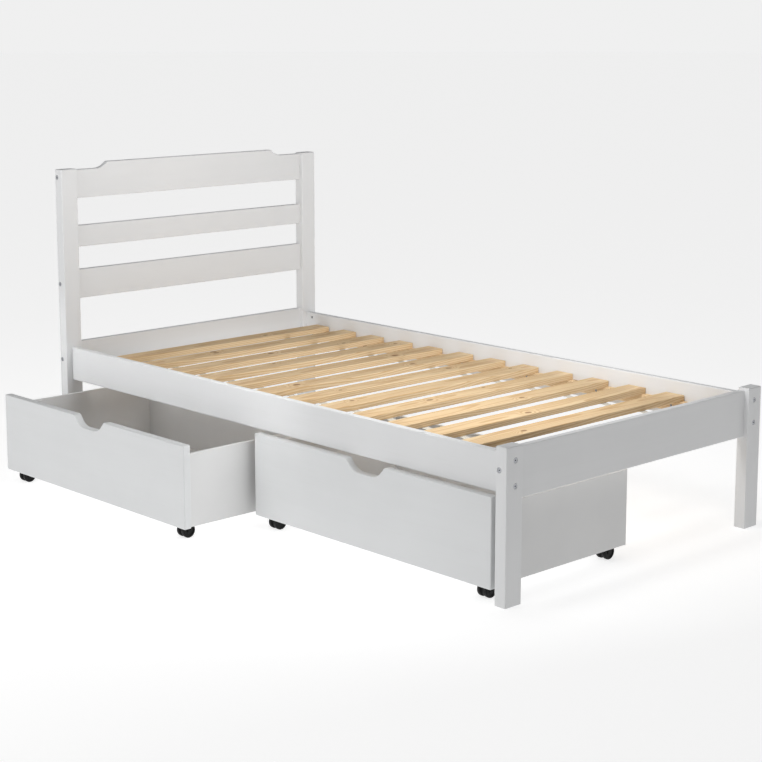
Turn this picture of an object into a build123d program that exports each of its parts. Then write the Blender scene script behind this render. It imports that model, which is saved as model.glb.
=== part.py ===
"""A twin bed frame of painted pine: headboard, low foot end, slatted base and two drawers on wheels.

Millimetres. The origin is on the floor at the middle of the frame. +X is across the bed, +Y runs
towards the headboard and +Z is up. The drawers come out towards -X. Left is -X and right is +X.
"""

import os

from build123d import *

os.makedirs("parts", exist_ok=True)

# ---------------------------------------------------------------- driving dimensions

bed_width = 1080.0
bed_length = 1990.0
post_width = 60.0  # along X
post_depth = 38.0  # along Y
head_post_height = 980.0
foot_post_height = 417.0
board_round = 3.0  # on the edges of the posts and rails

head_rail_thickness = 20.0
head_rail_inset = 16.0  # behind the front face of the head posts
top_rail_bottom, top_rail_shoulder, top_rail_crown = 883.0, 976.0, 996.5
crown_half_width = 350.0
shoulder_radius = 60.0  # hollow curve that rises from shoulder to crown
crown_round = 12.0
middle_slat_bottom, middle_slat_top = 723.0, 793.5
lower_slat_bottom, lower_slat_top = 553.5, 649.0
cross_rail_bottom, cross_rail_top = 304.0, 411.0

foot_rail_thickness = 21.0
foot_rail_inset = 15.0  # behind the outer face of the foot posts
foot_rail_bottom, foot_rail_top = 273.0, 409.0

side_rail_thickness = 21.0
side_rail_inset = 22.0  # behind the outer faces of the posts
side_rail_bottom, side_rail_top = 290.0, 397.0

ledger_thickness = 20.0
ledger_length = 1800.0
ledger_bottom, ledger_top = 308.0, 340.0

slat_count = 13
slat_width = 68.0
slat_thickness = 18.0
slat_side_gap = 2.0  # from each end of a slat to its side rail
slat_round = 2.0
webbing_width = 25.0
webbing_thickness = 1.0
webbing_spread = 600.0  # between the middles of the two tapes
webbing_end_margin = 8.0  # from a tape's end to the edge of the last slat

# Connector bolts, barrel nuts and dowels
bolt_radius = 3.0
bolt_head_radius = 7.5
bolt_head_thickness = 2.5
bolt_recess = 3.0
bolt_socket = 4.0  # across the flats
bolt_reach = 40.0  # into the rail behind the post
nut_radius = 5.0
nut_length = 14.0
nut_hole_depth = 17.0
nut_setback = 30.0  # from the end of the rail
dowel_radius = 4.0
dowel_length = 30.0
drill_clearance = 0.05

top_rail_bolt, lower_slat_bolt, cross_rail_bolt, foot_rail_bolt = 954.0, 606.0, 357.0, 356.0
top_rail_dowels = (900.0, 925.0)
middle_slat_dowels = (740.0, 776.0)
lower_slat_dowels = (575.0, 632.0)
cross_rail_dowels = (325.0, 390.0)
foot_rail_dowels = (300.0, 390.0)
side_rail_bolts = (314.0, 380.5)
side_rail_dowel = 338.0

screw_radius = 2.0
screw_head_radius = 4.0
screw_length = 35.0
screw_slot_width, screw_slot_length, screw_slot_depth = 1.0, 4.4, 1.2
head_ease = 0.1  # between a countersunk head and its cone
ledger_screw_count = 6

# Drawers
drawer_length = 936.0  # along Y
drawer_depth = 555.0  # along X
drawer_end_gap = 13.0  # from a drawer front to the nearest post
drawer_bottom = 38.0
front_top = 282.0
front_thickness = 24.0
front_overhang = 13.0  # of the front past each side
panel_top = 252.0
panel_thickness = 12.0
panel_round = 1.0
base_bottom, base_top = 48.0, 57.0
groove_depth = 6.0
groove_clearance = 0.2
head_drawer_pull = 243.0  # how far the head-end drawer stands open at rest

notch_half_width = 76.0
notch_floor_half_width = 48.0
notch_depth = 33.0
notch_radii = (8.0, 50.0, 50.0, 8.0)  # lip, floor, floor, lip
front_corner = 4.0

cam_radius = 7.5
cam_depth = 9.0
cam_setback = 24.0  # from the back of the drawer front
cam_heights = (95.0, 205.0)
cam_bolt_radius = 3.0
cam_bolt_in_front = 11.0
back_screw_heights = (80.0, 145.0, 215.0)

wheel_radius = 21.0
wheel_tread = 12.5  # the width of one wheel of a pair
wheel_round = 3.5
wheel_dish_inner, wheel_dish_outer = 7.0, 15.0  # radii of the ring sunk into a wheel's outer face
wheel_dish_depth = 2.0
wheel_cap = 2.0  # what covers the end of the axle
wheel_bore_clearance = 0.05
axle_radius = 3.0
axle_fit = 0.02  # the web's hole round the axle
axle_end_gap = 0.3
axle_chamfer = 0.5
web_thickness = 9.0
web_radius = 17.0  # of its round lower end, which nearly fills the gap between the wheels
wheel_side_gap = 0.5  # from the web to a wheel
caster_plate_thickness = 2.5
caster_plate_length, caster_plate_width = 34.0, 48.0
caster_plate_round = 4.0
caster_setback = 42.0  # from the drawer front's outer face, and the back's
caster_end_setback = 51.0  # from the ends of the drawer front
caster_screw_radius = 1.6
caster_screw_head_radius = 3.2
caster_screw_head_thickness = 1.4
caster_screw_length = 8.0

# ---------------------------------------------------------------- worked out from them

half_width = bed_width / 2
half_length = bed_length / 2
post_inner_x = half_width - post_width
post_inner_y = half_length - post_depth
head_rail_y = post_inner_y + head_rail_inset + head_rail_thickness / 2
foot_rail_y = -half_length + foot_rail_inset + foot_rail_thickness / 2
side_rail_x = half_width - side_rail_inset - side_rail_thickness / 2
side_rail_inner_x = side_rail_x - side_rail_thickness / 2
slat_half_length = side_rail_inner_x - slat_side_gap
slat_top = ledger_top + slat_thickness
slat_span = ledger_length - slat_width
slat_pitch = slat_span / (slat_count - 1)
slat_ys = [index * slat_pitch - slat_span / 2 for index in range(slat_count)]
slat_screw_x = side_rail_inner_x - ledger_thickness / 2
ledger_screw_ys = [
    (index - (ledger_screw_count - 1) / 2) * 2 * slat_pitch for index in range(ledger_screw_count)
]
wheel_z = wheel_radius
sides = {"left": -1, "right": 1}
ends = {"head": 1, "foot": -1}


def save(builder, name):
    """Label a finished piece and write it as its own STEP file."""
    builder.part.label = name
    export_step(builder.part, f"parts/{name}.step")


def facing(points, outward):
    """Locations at the points with their Z axis along outward, so that holes go the other way in."""
    return [Plane(origin=point, z_dir=outward).location for point in points]


def add_box(x_span, y_span, z_span, mode=Mode.ADD):
    """Add or cut a box given its two limits along each axis."""
    spans = (x_span, y_span, z_span)
    with Locations(tuple((low + high) / 2 for low, high in spans)):
        Box(*(abs(high - low) for low, high in spans), mode=mode)


def drill(points, outward, radius, depth):
    """Blind holes of one size, each running into the piece from its point."""
    with Locations(*facing(points, outward)):
        Cylinder(radius, depth, align=(Align.CENTER, Align.CENTER, Align.MAX), mode=Mode.SUBTRACT)


def drill_bolts(points, outward, depth):
    """Counterbored through holes for connector bolts."""
    with Locations(*facing(points, outward)):
        CounterBoreHole(bolt_radius + drill_clearance, bolt_head_radius + 0.25, bolt_recess, depth)


def drill_dowels(points, outward):
    """Blind holes for half of each dowel."""
    drill(points, outward, dowel_radius + drill_clearance, dowel_length / 2 + 0.5)


# ---------------------------------------------------------------- head end


def head_post(side):
    """One tall post, drilled for the headboard rails in its inner face and the side rail in front."""
    outer_x = side * half_width
    inner_x = side * post_inner_x
    dowel_heights = top_rail_dowels + middle_slat_dowels + lower_slat_dowels + cross_rail_dowels
    bolt_heights = (top_rail_bolt, lower_slat_bolt, cross_rail_bolt)
    with BuildPart() as post:
        add_box((inner_x, outer_x), (post_inner_y, half_length), (0, head_post_height))
        fillet(post.edges(), board_round)
        drill_bolts([(outer_x, head_rail_y, z) for z in bolt_heights], (side, 0, 0), post_width)
        drill_dowels([(inner_x, head_rail_y, z) for z in dowel_heights], (-side, 0, 0))
        rail_x = side * side_rail_x
        drill_bolts([(rail_x, half_length, z) for z in side_rail_bolts], (0, 1, 0), post_depth)
        drill_dowels([(rail_x, post_inner_y, side_rail_dowel)], (0, -1, 0))
    return post


def foot_post(side):
    """One short post, drilled for the foot rail in its inner face and the side rail behind."""
    outer_x = side * half_width
    inner_x = side * post_inner_x
    with BuildPart() as post:
        add_box((inner_x, outer_x), (-half_length, -post_inner_y), (0, foot_post_height))
        fillet(post.edges(), board_round)
        drill_bolts([(outer_x, foot_rail_y, foot_rail_bolt)], (side, 0, 0), post_width)
        drill_dowels([(inner_x, foot_rail_y, z) for z in foot_rail_dowels], (-side, 0, 0))
        rail_x = side * side_rail_x
        drill_bolts([(rail_x, -half_length, z) for z in side_rail_bolts], (0, -1, 0), post_depth)
        drill_dowels([(rail_x, -post_inner_y, side_rail_dowel)], (0, 1, 0))
    return post


for name, side in sides.items():
    save(head_post(side), f"head_post_{name}")
    save(foot_post(side), f"foot_post_{name}")


def drill_rail_ends(rail_y, bolt_height, dowel_heights, nut_face_y, nut_outward):
    """Bolt, barrel nut and dowel holes in both ends of a rail that runs across the bed."""
    for side in sides.values():
        end_x = side * post_inner_x
        drill_dowels([(end_x, rail_y, z) for z in dowel_heights], (side, 0, 0))
        if bolt_height:
            bolt_hole = bolt_radius + drill_clearance
            drill([(end_x, rail_y, bolt_height)], (side, 0, 0), bolt_hole, bolt_reach + 1)
            nut_x = side * (post_inner_x - nut_setback)
            nut_hole = nut_radius + drill_clearance
            nut_point = (nut_x, nut_face_y, bolt_height)
            drill([nut_point], (0, nut_outward, 0), nut_hole, nut_hole_depth)


def round_long_edges(builder, radius):
    """Round the edges that run along X."""
    fillet(builder.edges().filter_by(Axis.X), radius)


head_rail_back = head_rail_y + head_rail_thickness / 2
head_rail_span = (head_rail_y - head_rail_thickness / 2, head_rail_back)
across = (-post_inner_x, post_inner_x)

# The top rail has level shoulders and a raised crown, joined by hollow curves.
rise = top_rail_crown - top_rail_shoulder
curve_run = (shoulder_radius**2 - (shoulder_radius - rise) ** 2) ** 0.5
curve_start = crown_half_width + curve_run
with BuildPart() as top_rail:
    with BuildSketch(Plane.XZ.offset(-head_rail_back)):
        with BuildLine():
            shoulder = Line((post_inner_x, top_rail_shoulder), (curve_start, top_rail_shoulder))
            hollow = RadiusArc(shoulder @ 1, (crown_half_width, top_rail_crown), shoulder_radius)
            Line(hollow @ 1, (0, top_rail_crown))
            Line((0, top_rail_bottom), (post_inner_x, top_rail_bottom))
            Line((post_inner_x, top_rail_bottom), shoulder @ 0)
            Line((0, top_rail_crown), (0, top_rail_bottom))
        make_face()
        mirror(about=Plane.YZ)
    extrude(amount=head_rail_thickness)
    crown_edges = top_rail.edges().filter_by(Axis.Y).group_by(Axis.Z)[-1]
    fillet(crown_edges.filter_by_position(Axis.X, -curve_start, curve_start), crown_round)
    front_and_back = top_rail.faces().filter_by(Axis.Y)
    outline = front_and_back.edges().filter_by_position(
        Axis.X, -post_inner_x + 1, post_inner_x - 1, inclusive=(False, False)
    )
    fillet(outline, board_round)
    drill_rail_ends(head_rail_y, top_rail_bolt, top_rail_dowels, head_rail_back, 1)
save(top_rail, "headboard_top_rail")

with BuildPart() as middle_slat:
    add_box(across, head_rail_span, (middle_slat_bottom, middle_slat_top))
    round_long_edges(middle_slat, board_round)
    drill_rail_ends(head_rail_y, None, middle_slat_dowels, head_rail_back, 1)
save(middle_slat, "headboard_middle_slat")

with BuildPart() as lower_slat:
    add_box(across, head_rail_span, (lower_slat_bottom, lower_slat_top))
    round_long_edges(lower_slat, board_round)
    drill_rail_ends(head_rail_y, lower_slat_bolt, lower_slat_dowels, head_rail_back, 1)
save(lower_slat, "headboard_lower_slat")

with BuildPart() as cross_rail:
    add_box(across, head_rail_span, (cross_rail_bottom, cross_rail_top))
    round_long_edges(cross_rail, board_round)
    drill_rail_ends(head_rail_y, cross_rail_bolt, cross_rail_dowels, head_rail_back, 1)
save(cross_rail, "head_cross_rail")

# ---------------------------------------------------------------- foot rail and side rails

foot_rail_back = foot_rail_y + foot_rail_thickness / 2
with BuildPart() as foot_rail:
    foot_rail_span = (foot_rail_back - foot_rail_thickness, foot_rail_back)
    add_box(across, foot_rail_span, (foot_rail_bottom, foot_rail_top))
    round_long_edges(foot_rail, board_round)
    drill_rail_ends(foot_rail_y, foot_rail_bolt, foot_rail_dowels, foot_rail_back, 1)
save(foot_rail, "foot_rail")


def side_rail(side):
    """One long rail, bolted between the posts, with pilot holes for the ledger's screws."""
    centre_x = side * side_rail_x
    inner_x = side * side_rail_inner_x
    outer_x = inner_x + side * side_rail_thickness
    with BuildPart() as rail:
        add_box((inner_x, outer_x), (-post_inner_y, post_inner_y), (side_rail_bottom, side_rail_top))
        fillet(rail.edges().filter_by(Axis.Y), board_round)
        for end in ends.values():
            end_points = [(centre_x, end * post_inner_y, z) for z in side_rail_bolts]
            drill(end_points, (0, end, 0), bolt_radius + drill_clearance, bolt_reach + 1)
            drill_dowels([(centre_x, end * post_inner_y, side_rail_dowel)], (0, end, 0))
            nut_y = end * (post_inner_y - nut_setback)
            nut_points = [(inner_x, nut_y, z) for z in side_rail_bolts]
            drill(nut_points, (-side, 0, 0), nut_radius + drill_clearance, nut_hole_depth)
        pilot_depth = screw_length - ledger_thickness + 1
        pilot_points = [(inner_x, y, ledger_screw_z) for y in ledger_screw_ys]
        drill(pilot_points, (-side, 0, 0), screw_radius + drill_clearance, pilot_depth)
    return rail


ledger_screw_z = (ledger_bottom + ledger_top) / 2
for name, side in sides.items():
    save(side_rail(side), f"side_rail_{name}")

# ---------------------------------------------------------------- slatted base


def countersink(points, outward, depth):
    """Clearance holes with a cone for a countersunk head."""
    with Locations(*facing(points, outward)):
        CounterSinkHole(screw_radius + drill_clearance, screw_head_radius, depth, 90)


def ledger(side):
    """The strip inside a side rail that the slats lie on."""
    outer_x = side * side_rail_inner_x
    inner_x = outer_x - side * ledger_thickness
    with BuildPart() as strip:
        span_y = (-ledger_length / 2, ledger_length / 2)
        add_box((inner_x, outer_x), span_y, (ledger_bottom, ledger_top))
        fillet(strip.edges().filter_by(Axis.Y), slat_round)
        screw_points = [(inner_x, y, ledger_screw_z) for y in ledger_screw_ys]
        countersink(screw_points, (-side, 0, 0), ledger_thickness)
        pilot_points = [(side * slat_screw_x, y, ledger_top) for y in (slat_ys[0], slat_ys[-1])]
        pilot_depth = screw_length - slat_thickness + 1
        drill(pilot_points, (0, 0, 1), screw_radius + drill_clearance, pilot_depth)
    return strip


for name, side in sides.items():
    save(ledger(side), f"slat_ledger_{name}")

for index, slat_y in enumerate(slat_ys):
    with BuildPart() as slat:
        span_y = (slat_y - slat_width / 2, slat_y + slat_width / 2)
        add_box((-slat_half_length, slat_half_length), span_y, (ledger_top, slat_top))
        round_long_edges(slat, slat_round)
        if index in (0, slat_count - 1):
            screw_points = [(side * slat_screw_x, slat_y, slat_top) for side in sides.values()]
            countersink(screw_points, (0, 0, 1), slat_thickness)
    save(slat, f"slat_{index + 1:02d}")

# Two woven tapes on the undersides of the slats hold them at their spacing.
tape_length = slat_span + slat_width - 2 * webbing_end_margin
with BuildPart() as webbing:
    for side in sides.values():
        with Locations((side * webbing_spread / 2, 0, ledger_top)):
            Box(
                webbing_width,
                tape_length,
                webbing_thickness,
                align=(Align.CENTER, Align.CENTER, Align.MAX),
            )
save(webbing, "slat_webbing")

# ---------------------------------------------------------------- fasteners of the frame


def connector_bolt(shank_length):
    """A flat-headed bolt with a hex socket, its head outwards along +Z and flush in its recess."""
    head_under = -bolt_recess
    with BuildPart() as bolt:
        with BuildSketch(Plane.XY.offset(head_under)):
            Circle(bolt_head_radius)
        extrude(amount=bolt_head_thickness)
        fillet(bolt.edges().group_by(Axis.Z)[-1], 0.8)
        with BuildSketch(Plane.XY.offset(head_under)):
            Circle(bolt_radius)
        extrude(amount=-shank_length)
        chamfer(bolt.edges().group_by(Axis.Z)[0], 0.8)
        with BuildSketch(Plane.XY.offset(head_under + bolt_head_thickness)):
            RegularPolygon(bolt_socket / 2, 6, major_radius=False)
        extrude(amount=-bolt_head_thickness, mode=Mode.SUBTRACT)
    return bolt.part


long_bolt = connector_bolt(post_width - bolt_recess + bolt_reach)
short_bolt = connector_bolt(post_depth - bolt_recess + bolt_reach)
head_bolt_heights = (top_rail_bolt, lower_slat_bolt, cross_rail_bolt)

with BuildPart() as bolts:
    for side in sides.values():
        points = [(side * half_width, head_rail_y, z) for z in head_bolt_heights]
        points.append((side * half_width, foot_rail_y, foot_rail_bolt))
        with Locations(*facing(points, (side, 0, 0))):
            add(long_bolt)
        for end in ends.values():
            points = [(side * side_rail_x, end * half_length, z) for z in side_rail_bolts]
            with Locations(*facing(points, (0, end, 0))):
                add(short_bolt)
save(bolts, "connector_bolts")

# A barrel nut is a short rod with a cross hole for its bolt and a slot in its open end.
with BuildPart() as barrel_nut:
    with BuildSketch(Plane.XY.offset(-nut_hole_depth)):
        Circle(nut_radius)
    extrude(amount=nut_length)
    chamfer(barrel_nut.edges().group_by(Axis.Z)[-1], 0.6)
    with BuildSketch(Plane.XY.offset(nut_length - nut_hole_depth)):
        Rectangle(1.2, 2 * nut_radius)
    extrude(amount=-1.2, mode=Mode.SUBTRACT)
    bolt_depth = -side_rail_thickness / 2
    with BuildSketch(Plane.YZ):
        with Locations((0, bolt_depth)):
            Circle(bolt_radius + drill_clearance)
    extrude(amount=nut_radius, both=True, mode=Mode.SUBTRACT)


def nut_locations(points, outward, bolt_direction):
    """Locations of barrel nuts whose open ends face outward and whose cross holes follow the bolt."""
    return [Plane(origin=point, x_dir=bolt_direction, z_dir=outward).location for point in points]


with BuildPart() as barrel_nuts:
    for side in sides.values():
        nut_x = side * (post_inner_x - nut_setback)
        head_shift = (head_rail_thickness - side_rail_thickness) / 2
        points = [(nut_x, head_rail_back - head_shift, z) for z in head_bolt_heights]
        points.append((nut_x, foot_rail_back, foot_rail_bolt))
        with Locations(*nut_locations(points, (0, 1, 0), (1, 0, 0))):
            add(barrel_nut.part)
        for end in ends.values():
            nut_y = end * (post_inner_y - nut_setback)
            points = [(side * side_rail_inner_x, nut_y, z) for z in side_rail_bolts]
            with Locations(*nut_locations(points, (-side, 0, 0), (0, 1, 0))):
                add(barrel_nut.part)
save(barrel_nuts, "barrel_nuts")

with BuildPart() as dowel:
    Cylinder(dowel_radius, dowel_length)
    chamfer(dowel.edges(), 1)

with BuildPart() as dowels:
    head_heights = top_rail_dowels + middle_slat_dowels + lower_slat_dowels + cross_rail_dowels
    for side in sides.values():
        points = [(side * post_inner_x, head_rail_y, z) for z in head_heights]
        points += [(side * post_inner_x, foot_rail_y, z) for z in foot_rail_dowels]
        with Locations(*facing(points, (side, 0, 0))):
            add(dowel.part)
        points = [(side * side_rail_x, end * post_inner_y, side_rail_dowel) for end in ends.values()]
        with Locations(*facing(points, (0, 1, 0))):
            add(dowel.part)
save(dowels, "dowels")

# A countersunk screw, its head flush with the surface at Z = 0 and its point downwards.
with BuildPart() as wood_screw:
    with BuildSketch(Plane.XZ):
        with BuildLine():
            Polyline(
                (0, -head_ease),
                (screw_head_radius - 2 * head_ease, -head_ease),
                (screw_radius, screw_radius - screw_head_radius + head_ease),
                (screw_radius, 3 * screw_radius - screw_length),
                (0, -screw_length),
                close=True,
            )
        make_face()
    revolve(axis=Axis.Z)
    with BuildSketch(Plane.XY):
        Rectangle(screw_slot_length, screw_slot_width)
        Rectangle(screw_slot_width, screw_slot_length)
    extrude(amount=-screw_slot_depth, mode=Mode.SUBTRACT)

with BuildPart() as deck_screws:
    for side in sides.values():
        ledger_face = side * (side_rail_inner_x - ledger_thickness)
        points = [(ledger_face, y, ledger_screw_z) for y in ledger_screw_ys]
        with Locations(*facing(points, (-side, 0, 0))):
            add(wood_screw.part)
        points = [(side * slat_screw_x, y, slat_top) for y in (slat_ys[0], slat_ys[-1])]
        with Locations(*facing(points, (0, 0, 1))):
            add(wood_screw.part)
save(deck_screws, "deck_screws")

# ---------------------------------------------------------------- caster pieces, each at its own origin

wheel_inner_y = web_thickness / 2 + wheel_side_gap
wheel_outer_y = wheel_inner_y + wheel_tread
axle_half_length = wheel_outer_y - wheel_cap - axle_end_gap
screw_spread = (caster_plate_length - 10, caster_plate_width - 8)
inner_face = Plane(origin=(0, wheel_inner_y, 0), x_dir=(1, 0, 0), z_dir=(0, 1, 0))
outer_face = Plane(origin=(0, wheel_outer_y, 0), x_dir=(1, 0, 0), z_dir=(0, 1, 0))

# Twin wheels turn about Y, one on each side of the housing's web. Each is dished round a hub that
# covers the end of the axle.
with BuildPart() as wheel_shape:
    with BuildSketch(inner_face):
        Circle(wheel_radius)
    extrude(amount=wheel_tread)
    fillet(wheel_shape.edges().filter_by(GeomType.CIRCLE), wheel_round)
    with BuildSketch(outer_face):
        Circle(wheel_dish_outer)
        Circle(wheel_dish_inner, mode=Mode.SUBTRACT)
    extrude(amount=-wheel_dish_depth, mode=Mode.SUBTRACT)
    with BuildSketch(inner_face):
        Circle(axle_radius + wheel_bore_clearance)
    extrude(amount=wheel_tread - wheel_cap, mode=Mode.SUBTRACT)
    mirror(about=Plane.XZ)

# The housing is a screwed plate with a web that comes down between the two wheels to the axle.
plate_underside = base_bottom - caster_plate_thickness - wheel_z
with BuildPart() as housing_shape:
    with BuildSketch(Plane.XY.offset(plate_underside)):
        RectangleRounded(caster_plate_length, caster_plate_width, caster_plate_round)
        with GridLocations(*screw_spread, 2, 2):
            Circle(caster_screw_radius + drill_clearance, mode=Mode.SUBTRACT)
    extrude(amount=caster_plate_thickness)
    with BuildSketch(Plane.XZ):
        with BuildLine():
            lower_end = CenterArc((0, 0), web_radius, 180, 180)
            Polyline(
                lower_end @ 1,
                (web_radius, plate_underside),
                (-web_radius, plate_underside),
                lower_end @ 0,
            )
        make_face()
        Circle(axle_radius + axle_fit, mode=Mode.SUBTRACT)
    extrude(amount=web_thickness / 2, both=True)

with BuildPart() as axle_shape:
    with BuildSketch(Plane.XZ):
        Circle(axle_radius)
    extrude(amount=axle_half_length, both=True)
    chamfer(axle_shape.edges().filter_by(GeomType.CIRCLE), axle_chamfer)

# A pan-head screw that hangs from the surface at Z = 0 with its point upwards.
with BuildPart() as pan_screw:
    with BuildSketch(Plane.XY):
        Circle(caster_screw_head_radius)
    extrude(amount=-caster_screw_head_thickness)
    fillet(pan_screw.edges().group_by(Axis.Z)[0], 0.7)
    with BuildSketch(Plane.XY):
        Circle(caster_screw_radius)
    extrude(amount=caster_screw_length)
    with BuildSketch(Plane.XY.offset(-caster_screw_head_thickness)):
        Rectangle(3.6, 0.9)
        Rectangle(0.9, 3.6)
    extrude(amount=0.8, mode=Mode.SUBTRACT)

# ---------------------------------------------------------------- drawers


def drawer_front(outer_x, centre_y):
    """The face board, with a finger notch in its top edge, a groove, and holes for the cam bolts."""
    inner_x = outer_x + front_thickness
    foot_end, head_end = centre_y - drawer_length / 2, centre_y + drawer_length / 2
    with BuildPart() as front:
        with BuildSketch(Plane.YZ.offset(outer_x)):
            with BuildLine():
                FilletPolyline(
                    (foot_end, drawer_bottom),
                    (foot_end, front_top),
                    (centre_y - notch_half_width, front_top),
                    (centre_y - notch_floor_half_width, front_top - notch_depth),
                    (centre_y + notch_floor_half_width, front_top - notch_depth),
                    (centre_y + notch_half_width, front_top),
                    (head_end, front_top),
                    (head_end, drawer_bottom),
                    radius=2 * (front_corner,) + notch_radii + 2 * (front_corner,),
                    close=True,
                )
            make_face()
        extrude(amount=front_thickness)
        fillet(front.faces().filter_by(Axis.X).edges(), board_round)
        groove_y = drawer_length / 2 - front_overhang - panel_thickness + groove_depth
        groove_span = (centre_y - groove_y - groove_clearance, centre_y + groove_y + groove_clearance)
        groove_x = (inner_x - groove_depth - groove_clearance, inner_x)
        add_box(groove_x, groove_span, (base_bottom, base_top), mode=Mode.SUBTRACT)
        side_y = drawer_length / 2 - front_overhang - panel_thickness / 2
        bolt_points = [(inner_x, centre_y + end * side_y, z) for end in ends.values() for z in cam_heights]
        bolt_hole = cam_bolt_radius + drill_clearance
        drill(bolt_points, (1, 0, 0), bolt_hole, cam_bolt_in_front + 0.5)
    return front


def drawer_side(front_x, centre_y, end):
    """One side board, grooved for the base, bored for the cams and drilled for the back's screws."""
    outer_y = centre_y + end * (drawer_length / 2 - front_overhang)
    inner_y = outer_y - end * panel_thickness
    start_x = front_x + front_thickness
    finish_x = front_x + drawer_depth - panel_thickness
    middle_y = (outer_y + inner_y) / 2
    with BuildPart() as panel:
        add_box((start_x, finish_x), (inner_y, outer_y), (drawer_bottom, panel_top))
        fillet(panel.edges().filter_by(Axis.X), panel_round)
        groove_span = (inner_y, inner_y + end * (groove_depth + groove_clearance))
        add_box((start_x, finish_x), groove_span, (base_bottom, base_top), mode=Mode.SUBTRACT)
        cam_points = [(start_x + cam_setback, inner_y, z) for z in cam_heights]
        drill(cam_points, (0, -end, 0), cam_radius + drill_clearance, cam_depth)
        bolt_points = [(start_x, middle_y, z) for z in cam_heights]
        drill(bolt_points, (-1, 0, 0), cam_bolt_radius + drill_clearance, cam_setback)
        pilot_points = [(finish_x, middle_y, z) for z in back_screw_heights]
        pilot_depth = screw_length - panel_thickness + 1
        drill(pilot_points, (1, 0, 0), screw_radius + drill_clearance, pilot_depth)
    return panel


def drawer_back(front_x, centre_y):
    """The back board, which covers the ends of the sides and is screwed to them."""
    outer_x = front_x + drawer_depth
    inner_x = outer_x - panel_thickness
    half = drawer_length / 2 - front_overhang
    with BuildPart() as panel:
        add_box((inner_x, outer_x), (centre_y - half, centre_y + half), (drawer_bottom, panel_top))
        fillet(panel.edges().filter_by(Axis.Y), panel_round)
        groove_half = half - panel_thickness + groove_depth + groove_clearance
        groove_x = (inner_x, inner_x + groove_depth + groove_clearance)
        groove_span = (centre_y - groove_half, centre_y + groove_half)
        add_box(groove_x, groove_span, (base_bottom, base_top), mode=Mode.SUBTRACT)
        screw_y = half - panel_thickness / 2
        screw_ys = [centre_y + end * screw_y for end in ends.values()]
        points = [(outer_x, y, z) for y in screw_ys for z in back_screw_heights]
        countersink(points, (1, 0, 0), panel_thickness)
    return panel


def caster_places(front_x, centre_y):
    """Wheel centres of a drawer, by the corner that each is in."""
    near = front_x + caster_setback
    far = front_x + drawer_depth - caster_setback
    reach = drawer_length / 2 - caster_end_setback
    return {
        f"{row}_{end_name}": (x, centre_y + end * reach, wheel_z)
        for row, x in (("front", near), ("back", far))
        for end_name, end in ends.items()
    }


def drawer_base(front_x, centre_y):
    """The bottom board, held in grooves all round, with pilot holes for the casters' screws."""
    half = drawer_length / 2 - front_overhang - panel_thickness + groove_depth
    x_span = (
        front_x + front_thickness - groove_depth,
        front_x + drawer_depth - panel_thickness + groove_depth,
    )
    with BuildPart() as panel:
        add_box(x_span, (centre_y - half, centre_y + half), (base_bottom, base_top))
        for x, y, _ in caster_places(front_x, centre_y).values():
            with Locations((x, y, base_bottom)):
                with GridLocations(*screw_spread, 2, 2):
                    Cylinder(
                        caster_screw_radius + drill_clearance,
                        caster_screw_length,
                        align=(Align.CENTER, Align.CENTER, Align.MIN),
                        mode=Mode.SUBTRACT,
                    )
    return panel


def cam_fittings(front_x, centre_y):
    """Cam discs in the sides and the bolts that they pull on, which stand in the drawer front."""
    join_x = front_x + front_thickness
    bolt_length = cam_bolt_in_front + cam_setback - cam_radius - 0.2
    with BuildPart() as cam_disc:
        with BuildSketch(Plane.XY.offset(-0.3)):
            Circle(cam_radius)
        extrude(amount=0.5 - cam_depth)
        with BuildSketch(Plane.XY.offset(-0.3)):
            Rectangle(8, 1.4)
            Rectangle(1.4, 5)
        extrude(amount=-1.5, mode=Mode.SUBTRACT)
    with BuildPart() as fittings:
        for end in ends.values():
            inner_y = centre_y + end * (drawer_length / 2 - front_overhang - panel_thickness)
            middle_y = inner_y + end * panel_thickness / 2
            cam_points = [(join_x + cam_setback, inner_y, z) for z in cam_heights]
            with Locations(*facing(cam_points, (0, -end, 0))):
                add(cam_disc.part)
            bolt_points = [(join_x - cam_bolt_in_front, middle_y, z) for z in cam_heights]
            with Locations(*facing(bolt_points, (1, 0, 0))):
                Cylinder(cam_bolt_radius, bolt_length, align=(Align.CENTER, Align.CENTER, Align.MIN))
    return fittings


def back_screws(front_x, centre_y):
    """The screws that hold the back to the sides."""
    half = drawer_length / 2 - front_overhang - panel_thickness / 2
    outer_x = front_x + drawer_depth
    with BuildPart() as screws:
        points = [(outer_x, centre_y + end * half, z) for end in ends.values() for z in back_screw_heights]
        with Locations(*facing(points, (1, 0, 0))):
            add(wood_screw.part)
    return screws


def at_casters(shape, front_x, centre_y):
    """Copies of a caster piece at the four corners of a drawer."""
    with BuildPart() as group:
        with Locations(*caster_places(front_x, centre_y).values()):
            add(shape)
    return group


def caster_screws(front_x, centre_y):
    """Four pan-head screws through each caster plate into the base."""
    with BuildPart() as screws:
        for x, y, _ in caster_places(front_x, centre_y).values():
            with Locations((x, y, base_bottom - caster_plate_thickness)):
                with GridLocations(*screw_spread, 2, 2):
                    add(pan_screw.part)
    return screws


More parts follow.
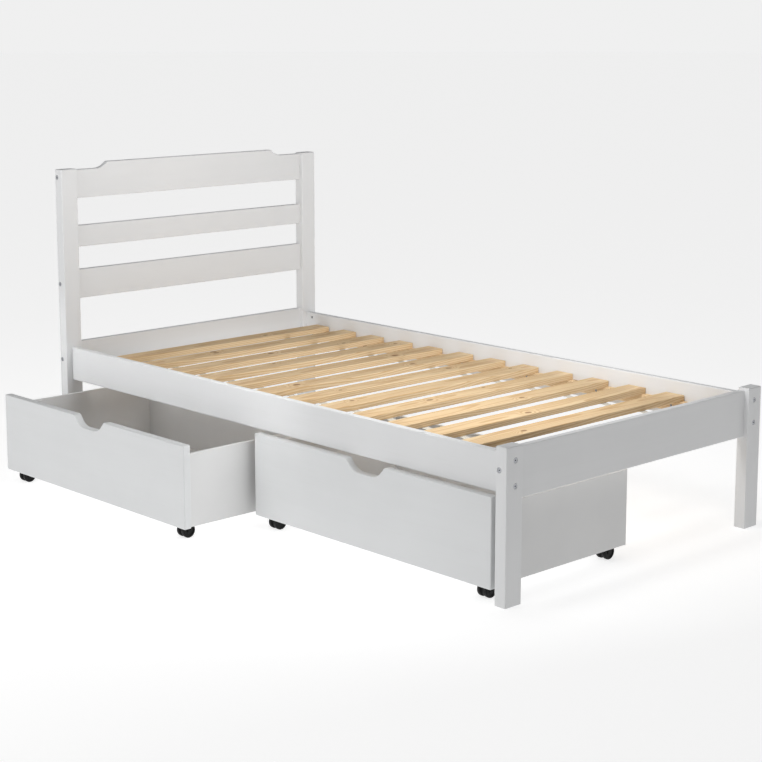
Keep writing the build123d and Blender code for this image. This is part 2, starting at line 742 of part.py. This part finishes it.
drawer_reach = post_inner_y - drawer_end_gap - drawer_length / 2
for end_name, end in ends.items():
    drawer = f"{end_name}_drawer"
    pull = head_drawer_pull if end_name == "head" else 0
    front_x = -half_width - pull
    centre_y = end * drawer_reach
    save(drawer_front(front_x, centre_y), f"{drawer}_front")
    save(drawer_side(front_x, centre_y, 1), f"{drawer}_head_side")
    save(drawer_side(front_x, centre_y, -1), f"{drawer}_foot_side")
    save(drawer_back(front_x, centre_y), f"{drawer}_back")
    save(drawer_base(front_x, centre_y), f"{drawer}_base")
    save(cam_fittings(front_x, centre_y), f"{drawer}_cam_fittings")
    save(back_screws(front_x, centre_y), f"{drawer}_back_screws")
    save(at_casters(housing_shape.part, front_x, centre_y), f"{drawer}_caster_housings")
    save(at_casters(axle_shape.part, front_x, centre_y), f"{drawer}_caster_axles")
    save(caster_screws(front_x, centre_y), f"{drawer}_caster_screws")
    for corner, place in caster_places(front_x, centre_y).items():
        with BuildPart() as wheel:
            with Locations(place):
                add(wheel_shape.part)
        save(wheel, f"{drawer}_wheel_{corner}")
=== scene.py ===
"""Looks for the white twin bed frame: painted wood, bare pine slats, tape, steel and black casters.

Metres. +X is across the bed, +Y runs towards the headboard and +Z is up.
"""

import math
import random

import bmesh
import bpy
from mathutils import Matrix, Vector


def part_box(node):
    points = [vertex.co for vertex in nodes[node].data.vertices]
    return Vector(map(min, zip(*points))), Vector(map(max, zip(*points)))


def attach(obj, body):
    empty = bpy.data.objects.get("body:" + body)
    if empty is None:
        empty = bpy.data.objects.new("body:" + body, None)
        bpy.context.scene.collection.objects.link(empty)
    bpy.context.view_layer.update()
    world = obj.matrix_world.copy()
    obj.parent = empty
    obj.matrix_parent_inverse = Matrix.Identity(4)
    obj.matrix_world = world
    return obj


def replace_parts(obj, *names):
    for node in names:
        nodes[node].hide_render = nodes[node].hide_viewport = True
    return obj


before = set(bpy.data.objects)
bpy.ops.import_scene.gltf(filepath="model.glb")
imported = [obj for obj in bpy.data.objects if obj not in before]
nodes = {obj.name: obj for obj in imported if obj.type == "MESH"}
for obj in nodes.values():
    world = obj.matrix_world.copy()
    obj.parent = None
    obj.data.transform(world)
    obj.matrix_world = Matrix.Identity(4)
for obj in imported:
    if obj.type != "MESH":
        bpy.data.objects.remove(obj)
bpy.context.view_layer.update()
AXES = "xyz"

# ---------------------------------------------------------------- camera

CAMERA_PLACE = Vector((-3.6885, -3.8820, 1.4835))
CAMERA_HEADING = 43.30  # degrees from +Y towards +X
CAMERA_DROOP = 9.42  # degrees below the horizon
CAMERA_LENS = 83.65  # millimetres, on a sensor CAMERA_SENSOR wide
CAMERA_SENSOR = 36.0
CAMERA_SHIFT = -0.1


def make_camera():
    """The picture's viewpoint: left of the foot end, at standing height."""
    data = bpy.data.cameras.new("camera")
    data.lens = CAMERA_LENS
    data.sensor_width = CAMERA_SENSOR
    data.shift_y = CAMERA_SHIFT
    camera = bpy.data.objects.new("camera", data)
    bpy.context.collection.objects.link(camera)
    heading, droop = math.radians(CAMERA_HEADING), math.radians(CAMERA_DROOP)
    level = math.cos(droop)
    forward = Vector((math.sin(heading) * level, math.cos(heading) * level, -math.sin(droop)))
    camera.location = CAMERA_PLACE
    camera.rotation_euler = forward.to_track_quat("-Z", "Y").to_euler()
    bpy.context.scene.camera = camera


make_camera()

# ---------------------------------------------------------------- material helpers

MIX_FACTOR, MIX_FIRST, MIX_SECOND = 0, 6, 7  # inputs of a mix node that is set to colours
MIX_RESULT = 2
MIDDLE_BAND = (0.35, 0.65)  # where most of a noise's values lie
WIDE_BAND = (0.3, 0.7)


def fill_range(node, low, high, start, stop):
    """Sets a map range node to take low..high to start..stop."""
    node.interpolation_type = "SMOOTHSTEP"
    node.inputs["From Min"].default_value = low
    node.inputs["From Max"].default_value = high
    node.inputs["To Min"].default_value = start
    node.inputs["To Max"].default_value = stop


class Graph:
    """A material's node tree, with the short calls that the materials below are written in."""

    def __init__(self, name):
        self.material = bpy.data.materials.new(name)
        self.material.use_nodes = True
        self.tree = self.material.node_tree
        self.tree.nodes.clear()
        self.shader = self.add("ShaderNodeBsdfPrincipled")
        output = self.add("ShaderNodeOutputMaterial")
        self.tree.links.new(self.shader.outputs["BSDF"], output.inputs["Surface"])

    def add(self, kind, **settings):
        made = self.tree.nodes.new(kind)
        for key, value in settings.items():
            setattr(made, key, value)
        return made

    def put(self, socket, value):
        """Links another node's output to a socket, or sets the socket to a plain value."""
        if isinstance(value, bpy.types.NodeSocket):
            self.tree.links.new(value, socket)
        else:
            socket.default_value = value

    def finish_with(self, **values):
        """Sets the shader's inputs, named with underscores for spaces, and gives the material."""
        for key, value in values.items():
            self.put(self.shader.inputs[key.replace("_", " ")], value)
        return self.material

    def place(self, origin=(0, 0, 0), scale=(1, 1, 1)):
        """The object's own coordinates, counted from origin and then scaled."""
        coordinates = self.add("ShaderNodeTexCoord")
        mapping = self.add("ShaderNodeMapping", vector_type="POINT")
        self.put(mapping.inputs["Vector"], coordinates.outputs["Object"])
        self.put(mapping.inputs["Location"], tuple(-o * s for o, s in zip(origin, scale)))
        self.put(mapping.inputs["Scale"], scale)
        return mapping.outputs["Vector"]

    def noise(self, vector, scale=1.0, detail=2.0, roughness=0.5):
        made = self.add("ShaderNodeTexNoise")
        self.put(made.inputs["Vector"], vector)
        self.put(made.inputs["Scale"], scale)
        self.put(made.inputs["Detail"], detail)
        self.put(made.inputs["Roughness"], roughness)
        return made.outputs["Fac"]

    def maths(self, operation, *values):
        made = self.add("ShaderNodeMath", operation=operation)
        for socket, value in zip(made.inputs, values):
            self.put(socket, value)
        return made.outputs[0]

    def plus(self, a, b):
        return self.maths("ADD", a, b)

    def minus(self, a, b):
        return self.maths("SUBTRACT", a, b)

    def times(self, a, b):
        return self.maths("MULTIPLY", a, b)

    def length(self, a, b):
        """The length of an offset with these two parts."""
        return self.maths("SQRT", self.plus(self.times(a, a), self.times(b, b)))

    def split(self, vector):
        made = self.add("ShaderNodeSeparateXYZ")
        self.put(made.inputs[0], vector)
        return made.outputs

    def span(self, value, low, high, start=0.0, stop=1.0):
        """Maps low..high smoothly to start..stop, and holds outside."""
        made = self.add("ShaderNodeMapRange")
        fill_range(made, low, high, start, stop)
        self.put(made.inputs["Value"], value)
        return made.outputs["Result"]

    def patches(self, scale, detail, start, stop):
        """A value that drifts between start and stop in soft patches."""
        return self.span(self.noise(self.place(), scale, detail), *WIDE_BAND, start, stop)

    def blend(self, factor, first, second):
        """A colour between two others."""
        made = self.add("ShaderNodeMix", data_type="RGBA")
        self.put(made.inputs[MIX_FACTOR], factor)
        self.put(made.inputs[MIX_FIRST], first)
        self.put(made.inputs[MIX_SECOND], second)
        return made.outputs[MIX_RESULT]

    def bump(self, height, depth, normal=None):
        """A bump of this many metres for a height of 0 to 1, over another bump's normal."""
        made = self.add("ShaderNodeBump")
        self.put(made.inputs["Height"], height)
        self.put(made.inputs["Distance"], depth)
        if normal is not None:
            self.put(made.inputs["Normal"], normal)
        return made.outputs["Normal"]


def rgb(red, green, blue):
    return (red, green, blue, 1.0)


def shaded(tint, factors):
    """A tint with each of its parts multiplied by a factor of its own."""
    return rgb(*(part * factor for part, factor in zip(tint, factors)))


def along(axis, lengthwise, crosswise):
    """A scale that is lengthwise on one axis and crosswise on the other two."""
    return tuple(lengthwise if name == axis else crosswise for name in AXES)


# ---------------------------------------------------------------- materials

POST_AND_RAIL_WHITE = (0.75, 0.755, 0.76)
DRAWER_FRONT_WHITE = (0.71, 0.72, 0.725)
DRAWER_BOX_WHITE = (0.712, 0.712, 0.709)
THIN_PAINT = (0.972,) * 3  # where the coat is a little thinner
THIN_BOARD_PAINT = (0.975,) * 3
OPEN_PORES = (0.945, 0.94, 0.925)
PORE_STRENGTH = 0.35


def painted_wood(name, axis, tint=POST_AND_RAIL_WHITE):
    """Satin paint over planed pine: the grain just telegraphs through, with a roller's stipple."""
    graph = Graph(name)
    grain = graph.noise(graph.place(scale=along(axis, 7, 260)), detail=5, roughness=0.6)
    figure = graph.noise(graph.place(scale=along(axis, 1.3, 26)), detail=3)
    stipple = graph.noise(graph.place(), scale=900, detail=2)
    cloud = graph.noise(graph.place(), scale=4.5, detail=3)
    shade = graph.plus(graph.times(cloud, 0.6), graph.times(figure, 0.4))
    colour = graph.blend(graph.span(shade, *MIDDLE_BAND), shaded(tint, THIN_PAINT), rgb(*tint))
    pores = graph.span(grain, 0.30, 0.42, 1.0, 0.0)
    colour = graph.blend(graph.times(pores, PORE_STRENGTH), colour, shaded(tint, OPEN_PORES))
    normal = graph.bump(grain, 0.00022)
    normal = graph.bump(figure, 0.0006, normal)
    normal = graph.bump(stipple, 0.00004, normal)
    return graph.finish_with(
        Base_Color=colour,
        Roughness=graph.patches(scale=30, detail=4, start=0.36, stop=0.47),
        Normal=normal,
        Specular_IOR_Level=0.45,
        Coat_Weight=0.06,
    )


def painted_board(name, tint=DRAWER_BOX_WHITE):
    """Satin paint on smooth board, for the drawer boxes: no grain, a finer stipple."""
    graph = Graph(name)
    cloud = graph.noise(graph.place(), scale=6, detail=4)
    stipple = graph.noise(graph.place(), scale=700, detail=3)
    thin = shaded(tint, THIN_BOARD_PAINT)
    return graph.finish_with(
        Base_Color=graph.blend(graph.span(cloud, *MIDDLE_BAND), thin, rgb(*tint)),
        Roughness=graph.patches(scale=45, detail=3, start=0.42, stop=0.54),
        Normal=graph.bump(stipple, 0.00005),
        Specular_IOR_Level=0.4,
    )


PINE_RING = 0.0052  # between growth rings
PINE_RIPPLE = 0.0022  # how far a ring's line wavers
PINE_WANDER = 0.07  # how far the rings drift along a board
PITH_ASIDE = 0.02  # the most that the tree's middle is to one side of the board's
PITH_BELOW = (0.025, 0.055)
KNOT_COUNTS = (1, 2, 2)
KNOT_SIZES = (0.005, 0.010)
KNOT_ENDS, KNOT_EDGES = 0.9, 0.6  # how near to a board's ends and edges a knot can lie
KNOT_SQUEEZE = 0.62  # a knot is longer along the board than across it
KNOT_PUSH = 0.011  # how far a knot moves the rings beside it
KNOT_PUSH_FROM, KNOT_PUSH_TO = 0.6, 3.4  # in knot sizes from its middle
KNOT_RIM = 0.72
PINE_EARLY_DEEP = rgb(0.70, 0.51, 0.295)
PINE_EARLY_PALE = rgb(0.77, 0.60, 0.38)
PINE_LATE = rgb(0.53, 0.31, 0.135)
PINE_FIBRE = rgb(0.58, 0.39, 0.20)
PINE_KNOT = rgb(0.25, 0.115, 0.045)


def pine(name, node, axis, seed):
    """Planed bare pine for one board: growth rings round its own pith, fibres and a knot or two."""
    chance = random.Random(seed)
    low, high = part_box(node)
    centre = tuple((a + b) / 2 for a, b in zip(low, high))
    half_sizes = tuple((b - a) / 2 for a, b in zip(low, high))
    run = AXES.index(axis)
    side, depth = (index for index in range(3) if index != run)
    graph = Graph(name)
    position = graph.split(graph.place(origin=centre))

    def drift(start, lengthwise):
        """A slow wander of the rings, different for each start."""
        where = graph.place(origin=(start,) * 3, scale=along(axis, lengthwise, 0.5))
        return graph.times(graph.minus(graph.noise(where, detail=1), 0.5), PINE_WANDER)

    sway = drift(chance.random(), 1.6)
    lift = drift(chance.uniform(2, 3), 1.1)
    pith_side = chance.uniform(-PITH_ASIDE, PITH_ASIDE)
    pith_depth = -chance.uniform(*PITH_BELOW)
    across = graph.plus(graph.minus(position[side], pith_side), sway)
    through = graph.plus(graph.minus(position[depth], pith_depth), lift)
    ripple = graph.noise(graph.place(scale=along(axis, 9, 60)), detail=3)
    radius = graph.plus(graph.length(across, through), graph.times(ripple, PINE_RIPPLE))

    knots = 0.0
    for _ in range(chance.choice(KNOT_COUNTS)):
        knot_run = chance.uniform(-KNOT_ENDS, KNOT_ENDS) * half_sizes[run]
        knot_side = chance.uniform(-KNOT_EDGES, KNOT_EDGES) * half_sizes[side]
        size = chance.uniform(*KNOT_SIZES)
        run_off = graph.times(graph.minus(position[run], knot_run), KNOT_SQUEEZE)
        reach = graph.length(run_off, graph.minus(position[side], knot_side))
        push = graph.span(reach, size * KNOT_PUSH_FROM, size * KNOT_PUSH_TO, KNOT_PUSH, 0.0)
        radius = graph.plus(radius, push)
        knots = graph.maths("MAXIMUM", knots, graph.span(reach, size * KNOT_RIM, size, 1.0, 0.0))

    phase = graph.maths("FRACT", graph.maths("DIVIDE", radius, PINE_RING))
    late = graph.times(graph.span(phase, 0.35, 0.9), graph.span(phase, 0.93, 1.0, 1.0, 0.0))
    fibre = graph.noise(graph.place(scale=along(axis, 14, 1100)), detail=3, roughness=0.65)
    tone = graph.noise(graph.place(origin=centre, scale=along(axis, 1.5, 9)), detail=2)
    colour = graph.blend(graph.span(tone, *WIDE_BAND), PINE_EARLY_DEEP, PINE_EARLY_PALE)
    colour = graph.blend(graph.times(late, 0.72), colour, PINE_LATE)
    colour = graph.blend(graph.span(fibre, 0.42, 0.75, 0.0, 0.28), colour, PINE_FIBRE)
    colour = graph.blend(graph.times(knots, 0.8), colour, PINE_KNOT)
    return graph.finish_with(
        Base_Color=colour,
        Roughness=graph.span(late, 0.0, 1.0, 0.62, 0.5),
        Normal=graph.bump(late, 0.00012, graph.bump(fibre, 0.00016)),
        Specular_IOR_Level=0.35,
    )


BEECH = (0.62, 0.40, 0.22)
BEECH_GRAIN = (0.7,) * 3


def beech_wood(name, axis):
    """Close-grained hardwood for the dowels."""
    graph = Graph(name)
    grain = graph.noise(graph.place(scale=along(axis, 60, 900)), detail=4)
    colour = graph.blend(grain, rgb(*BEECH), shaded(BEECH, BEECH_GRAIN))
    return graph.finish_with(Base_Color=colour, Roughness=0.6, Normal=graph.bump(grain, 0.0001))


def zinc_steel(name):
    """Bright zinc plate: a fine brushed break-up and soft cloudy patches."""
    graph = Graph(name)
    cloud = graph.noise(graph.place(), scale=260, detail=3)
    fine = graph.noise(graph.place(scale=(1500, 1500, 300)), detail=2)
    return graph.finish_with(
        Base_Color=graph.blend(cloud, rgb(0.30, 0.31, 0.33), rgb(0.50, 0.51, 0.53)),
        Metallic=1.0,
        Roughness=graph.span(cloud, *WIDE_BAND, 0.16, 0.32),
        Normal=graph.bump(fine, 0.00002),
    )


DUST_LIFT = 0.02  # how much paler dust makes black plastic


def black_plastic(name, tint, low_gloss, high_gloss):
    """Moulded plastic with a fine spark-eroded texture and a little floor dust in its colour."""
    graph = Graph(name)
    mould = graph.noise(graph.place(), scale=2600, detail=2)
    dust = graph.noise(graph.place(), scale=120, detail=5, roughness=0.7)
    dusty = rgb(*(part + DUST_LIFT for part in tint))
    return graph.finish_with(
        Base_Color=graph.blend(graph.span(dust, 0.52, 0.78, 0.0, 0.5), rgb(*tint), dusty),
        Roughness=graph.span(dust, 0.35, 0.7, low_gloss, high_gloss),
        Normal=graph.bump(mould, 0.00003),
        Specular_IOR_Level=0.18,
    )


WEAVE_RIB = 2 * math.pi / 0.0016  # across the tape
WEAVE_PICK = 2 * math.pi / 0.0022  # along the tape


def woven_tape(name):
    """Cotton tape: ribs along its length crossed by picks, with slubs and a soft fuzz."""
    graph = Graph(name)
    x, y, _ = graph.split(graph.place())
    rib = graph.maths("SINE", graph.times(x, WEAVE_RIB))
    pick = graph.maths("SINE", graph.times(y, WEAVE_PICK))
    weave = graph.plus(graph.times(graph.times(rib, pick), 0.5), 0.5)
    slub = graph.noise(graph.place(scale=(900, 60, 900)), detail=2)
    colour = graph.blend(weave, rgb(0.50, 0.47, 0.40), rgb(0.74, 0.71, 0.64))
    colour = graph.blend(graph.span(slub, 0.45, 0.7, 0.0, 0.4), colour, rgb(0.80, 0.78, 0.72))
    return graph.finish_with(
        Base_Color=colour, Roughness=0.88, Normal=graph.bump(weave, 0.00035), Sheen_Weight=0.35
    )


def dress(node, material):
    """Gives a CAD node its material, in every slot that its mesh has."""
    mesh = nodes[node].data
    if not mesh.materials:
        mesh.materials.append(material)
    for index in range(len(mesh.materials)):
        mesh.materials[index] = material


def longest_axis(node):
    low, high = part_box(node)
    sizes = [b - a for a, b in zip(low, high)]
    return AXES[sizes.index(max(sizes))]


paints = {axis: painted_wood(f"painted_pine_{axis}", axis) for axis in AXES}
front_paint = painted_wood("painted_front", "y", tint=DRAWER_FRONT_WHITE)
board_paint = painted_board("painted_board")
steel = zinc_steel("zinc_steel")
wheel_black = black_plastic("black_nylon", (0.007, 0.007, 0.0075), 0.38, 0.55)
housing_black = black_plastic("black_housing", (0.008, 0.008, 0.0085), 0.45, 0.6)
beech = beech_wood("beech", "x")
tape = woven_tape("cotton_tape")

STEEL_NODES = ("connector_bolts", "barrel_nuts", "deck_screws")
STEEL_ENDINGS = ("_screws", "_cam_fittings", "_caster_axles")

for index, node in enumerate(sorted(nodes)):
    if node in STEEL_NODES or node.endswith(STEEL_ENDINGS):
        dress(node, steel)
    elif "_wheel_" in node:
        dress(node, wheel_black)
    elif node.endswith("_caster_housings"):
        dress(node, housing_black)
    elif node == "dowels":
        dress(node, beech)
    elif node == "slat_webbing":
        dress(node, tape)
    elif node.startswith("slat_"):
        dress(node, pine(f"pine_{node}", node, longest_axis(node), seed=index))
    elif node.endswith("_drawer_front"):
        dress(node, front_paint)
    elif "_drawer_" in node:
        dress(node, board_paint)
    else:
        dress(node, paints[longest_axis(node)])

# ---------------------------------------------------------------- tape and staples under the slats

slat_nodes = sorted(node for node in nodes if node.startswith("slat_") and node[5:].isdigit())
slat_boxes = [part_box(node) for node in slat_nodes]
slat_underside = slat_boxes[0][0][2]
webbing_low, webbing_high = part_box("slat_webbing")
TAPE_WIDTH = 0.025
TAPE_THICKNESS = 0.0011
TAPE_CLEARANCE = 0.0001  # from the slats
TAPE_SAG = 0.0035
TAPE_FLAT_EDGE = 0.012  # inside a slat's edge, where the tape lies flat again
TAPE_STEPS = 6  # lengths of tape between two slats' edges
SELVEDGE = 0.0030  # how far in from its edges the tape starts to thin
SELVEDGE_ROUND = 0.0008
tape_xs = (webbing_low[0] + TAPE_WIDTH / 2, webbing_high[0] - TAPE_WIDTH / 2)


def new_piece(name, shape, material, body="frame"):
    """A smooth object made of a bmesh, riding on a body, with its material."""
    bmesh.ops.recalc_face_normals(shape, faces=shape.faces)
    mesh = bpy.data.meshes.new(name)
    shape.to_mesh(mesh)
    shape.free()
    for polygon in mesh.polygons:
        polygon.use_smooth = True
    mesh.materials.append(material)
    piece = bpy.data.objects.new(name, mesh)
    bpy.context.collection.objects.link(piece)
    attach(piece, body)
    return piece


def sweep(shape, path, section):
    """Adds a closed tube to a bmesh: one ring of the section at each path point, with capped ends.

    A path point is (place, across, up), and the section is a list of offsets along across and up.
    """
    rings = []
    for place, across, up in path:
        rings.append([shape.verts.new(place + across * a + up * b) for a, b in section])
    count = len(section)
    for first, second in zip(rings, rings[1:]):
        for index in range(count):
            following = (index + 1) % count
            shape.faces.new((first[index], first[following], second[following], second[index]))
    shape.faces.new(list(reversed(rings[0])))
    shape.faces.new(rings[-1])


def tape_section():
    """The tape's outline: flat faces and thin rounded selvedges."""
    half, thick = TAPE_WIDTH / 2, TAPE_THICKNESS
    edge = [
        (half - SELVEDGE, thick * 0.07),
        (half - SELVEDGE_ROUND, 0),
        (half, thick * 0.25),
        (half, thick * 0.65),
        (half - SELVEDGE_ROUND, thick),
    ]
    return edge + [(-across, up) for across, up in reversed(edge)]


def make_tape(name, x):
    """One woven tape, flat under each slat and sagging a little between two."""
    lift = -TAPE_THICKNESS - TAPE_CLEARANCE
    stations = [(webbing_low[1], lift)]
    for (_, before), (after, _) in zip(slat_boxes, slat_boxes[1:]):
        start, stop = before[1], after[1]
        stations.append((start - TAPE_FLAT_EDGE, lift))
        for step in range(TAPE_STEPS + 1):
            share = step / TAPE_STEPS
            sag = TAPE_SAG * 4 * share * (1 - share)
            stations.append((start + (stop - start) * share, lift - sag))
        stations.append((stop + TAPE_FLAT_EDGE, lift))
    stations.append((webbing_high[1], lift))
    across, up = Vector((1, 0, 0)), Vector((0, 0, 1))
    shape = bmesh.new()
    path = [(Vector((x, y, slat_underside + z)), across, up) for y, z in stations]
    sweep(shape, path, tape_section())
    return new_piece(name, shape, tape)


STAPLE_HALF = 0.0052
STAPLE_LEG = 0.0016
STAPLE_BEND = 0.0009
STAPLE_WIRE = 0.00055
STAPLE_FLATNESS = 0.8  # the wire's thickness over its width
STAPLE_SINK = 0.0002  # into the tape
STAPLE_Y = 0.017  # from the middle of the slat
STAPLE_SCATTER = (0.003, 0.002)  # across and along the tape
STAPLE_TURN = 0.16


def add_staple(shape, middle, turn):
    """One staple through the tape: a crown with rounded shoulders and two legs in the slat."""
    along_crown = Vector((math.cos(turn), math.sin(turn), 0))
    sideways = Vector((-along_crown.y, along_crown.x, 0))
    down = Vector((0, 0, -1))
    profile = [(-STAPLE_HALF, -STAPLE_LEG)]
    for angle in map(math.radians, (180, 150, 120, 90)):
        across = STAPLE_BEND - STAPLE_HALF + STAPLE_BEND * math.cos(angle)
        profile.append((across, STAPLE_BEND * math.sin(angle)))
    profile += [(-across, height) for across, height in reversed(profile)]
    path = []
    for index, (across, height) in enumerate(profile):
        before, after = profile[max(index - 1, 0)], profile[min(index + 1, len(profile) - 1)]
        heading = along_crown * (after[0] - before[0]) + down * (after[1] - before[1])
        place = middle + along_crown * across + down * height
        path.append((place, sideways, sideways.cross(heading.normalized())))
    ring = [(math.cos(angle), math.sin(angle)) for angle in map(math.radians, range(0, 360, 45))]
    sweep(shape, path, [(a * STAPLE_WIRE, b * STAPLE_WIRE * STAPLE_FLATNESS) for a, b in ring])


def make_staples():
    """Two staples where each tape crosses each slat, none of them quite square."""
    chance = random.Random(7)
    shape = bmesh.new()
    scatter_x, scatter_y = STAPLE_SCATTER
    z = slat_underside - TAPE_THICKNESS + STAPLE_SINK
    for low, high in slat_boxes:
        for tape_x in tape_xs:
            for side in (-1, 1):
                slat_y = (low[1] + high[1]) / 2
                y = slat_y + side * STAPLE_Y + chance.uniform(-scatter_y, scatter_y)
                x = tape_x + chance.uniform(-scatter_x, scatter_x)
                turn = chance.uniform(-STAPLE_TURN, STAPLE_TURN)
                add_staple(shape, Vector((x, y, z)), turn)
    new_piece("webbing_staples", shape, steel)


for name, x in zip(("slat_tape_left", "slat_tape_right"), tape_xs):
    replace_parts(make_tape(name, x), "slat_webbing")
make_staples()

# ---------------------------------------------------------------- floor and light

FLOOR_RADIUS = 60
FLOOR_DROP = 0.0002  # below the feet
FLOOR_GREY = 0.5
FLOOR_GLOW = 0.74  # the floor is partly a lit white panel, so that its shadows stay light
HORIZON_GLOW = 0.87  # matches the lit floor, so that no horizon shows
ROOM_GLOW = 0.06
GLOW_BAND = (0.10, 0.26)  # the upward part of a direction, where the room's walls turn dim
SUN_STRENGTH = 0.5
SUN_FROM = (-0.25, 0.15, 1.0)
SUN_ANGLE = 70
AREA_LIGHTS = (  # name, place, target, width and height, power, spread in degrees
    ("key", (-3.4, 0.9, 2.1), (0.0, 0.3, 0.3), (2.4, 2.4), 36.5, 180),
    ("headboard_fill", (-0.2, -0.7, 1.25), (0.2, 0.75, 0.3), (0.8, 0.8), 15.0, 180),
    ("rail_fill", (-1.1, 0.44, 0.92), (-0.52, 0.42, 0.34), (1.15, 0.06), 0.32, 30),
)


def make_floor():
    """A plain pale floor, wide enough to fill any view."""
    shape = bmesh.new()
    bmesh.ops.create_circle(shape, cap_ends=True, segments=96, radius=FLOOR_RADIUS)
    mesh = bpy.data.meshes.new("floor")
    shape.to_mesh(mesh)
    shape.free()
    graph = Graph("pale_floor")
    mesh.materials.append(
        graph.finish_with(
            Base_Color=rgb(FLOOR_GREY, FLOOR_GREY, FLOOR_GREY),
            Roughness=1.0,
            Specular_IOR_Level=0.0,
            Emission_Color=rgb(1, 1, 1),
            Emission_Strength=FLOOR_GLOW,
        )
    )
    floor = bpy.data.objects.new("floor", mesh)
    floor.location.z = -FLOOR_DROP
    bpy.context.collection.objects.link(floor)


def make_room():
    """A dim even room whose walls brighten towards the floor."""
    world = bpy.data.worlds.new("studio")
    world.use_nodes = True
    tree = world.node_tree
    background = tree.nodes["Background"]
    background.inputs["Color"].default_value = rgb(1, 1, 1)
    direction = tree.nodes.new("ShaderNodeTexCoord")
    parts = tree.nodes.new("ShaderNodeSeparateXYZ")
    glow = tree.nodes.new("ShaderNodeMapRange")
    fill_range(glow, *GLOW_BAND, HORIZON_GLOW, ROOM_GLOW)
    tree.links.new(direction.outputs["Generated"], parts.inputs[0])
    tree.links.new(parts.outputs["Z"], glow.inputs["Value"])
    tree.links.new(glow.outputs["Result"], background.inputs["Strength"])
    bpy.context.scene.world = world


def overhead_light():
    """A very soft light from nearly straight above, the same all over the floor."""
    data = bpy.data.lights.new("overhead", "SUN")
    data.energy = SUN_STRENGTH
    data.angle = math.radians(SUN_ANGLE)
    light = bpy.data.objects.new("overhead", data)
    light.rotation_euler = Vector(SUN_FROM).to_track_quat("Z", "Y").to_euler()
    bpy.context.collection.objects.link(light)


def area_light(name, place, target, size, power, spread):
    """A softbox at place, aimed at target, that the camera doesn't see."""
    data = bpy.data.lights.new(name, "AREA")
    data.shape = "RECTANGLE"
    data.size, data.size_y = size
    data.spread = math.radians(spread)
    data.energy = power
    light = bpy.data.objects.new(name, data)
    light.location = place
    aim = Vector(target) - Vector(place)
    light.rotation_euler = aim.to_track_quat("-Z", "Y").to_euler()
    light.visible_camera = False
    bpy.context.collection.objects.link(light)


make_floor()
make_room()
overhead_light()
for settings in AREA_LIGHTS:
    area_light(*settings)
bpy.context.scene.view_settings.view_transform = "Standard"
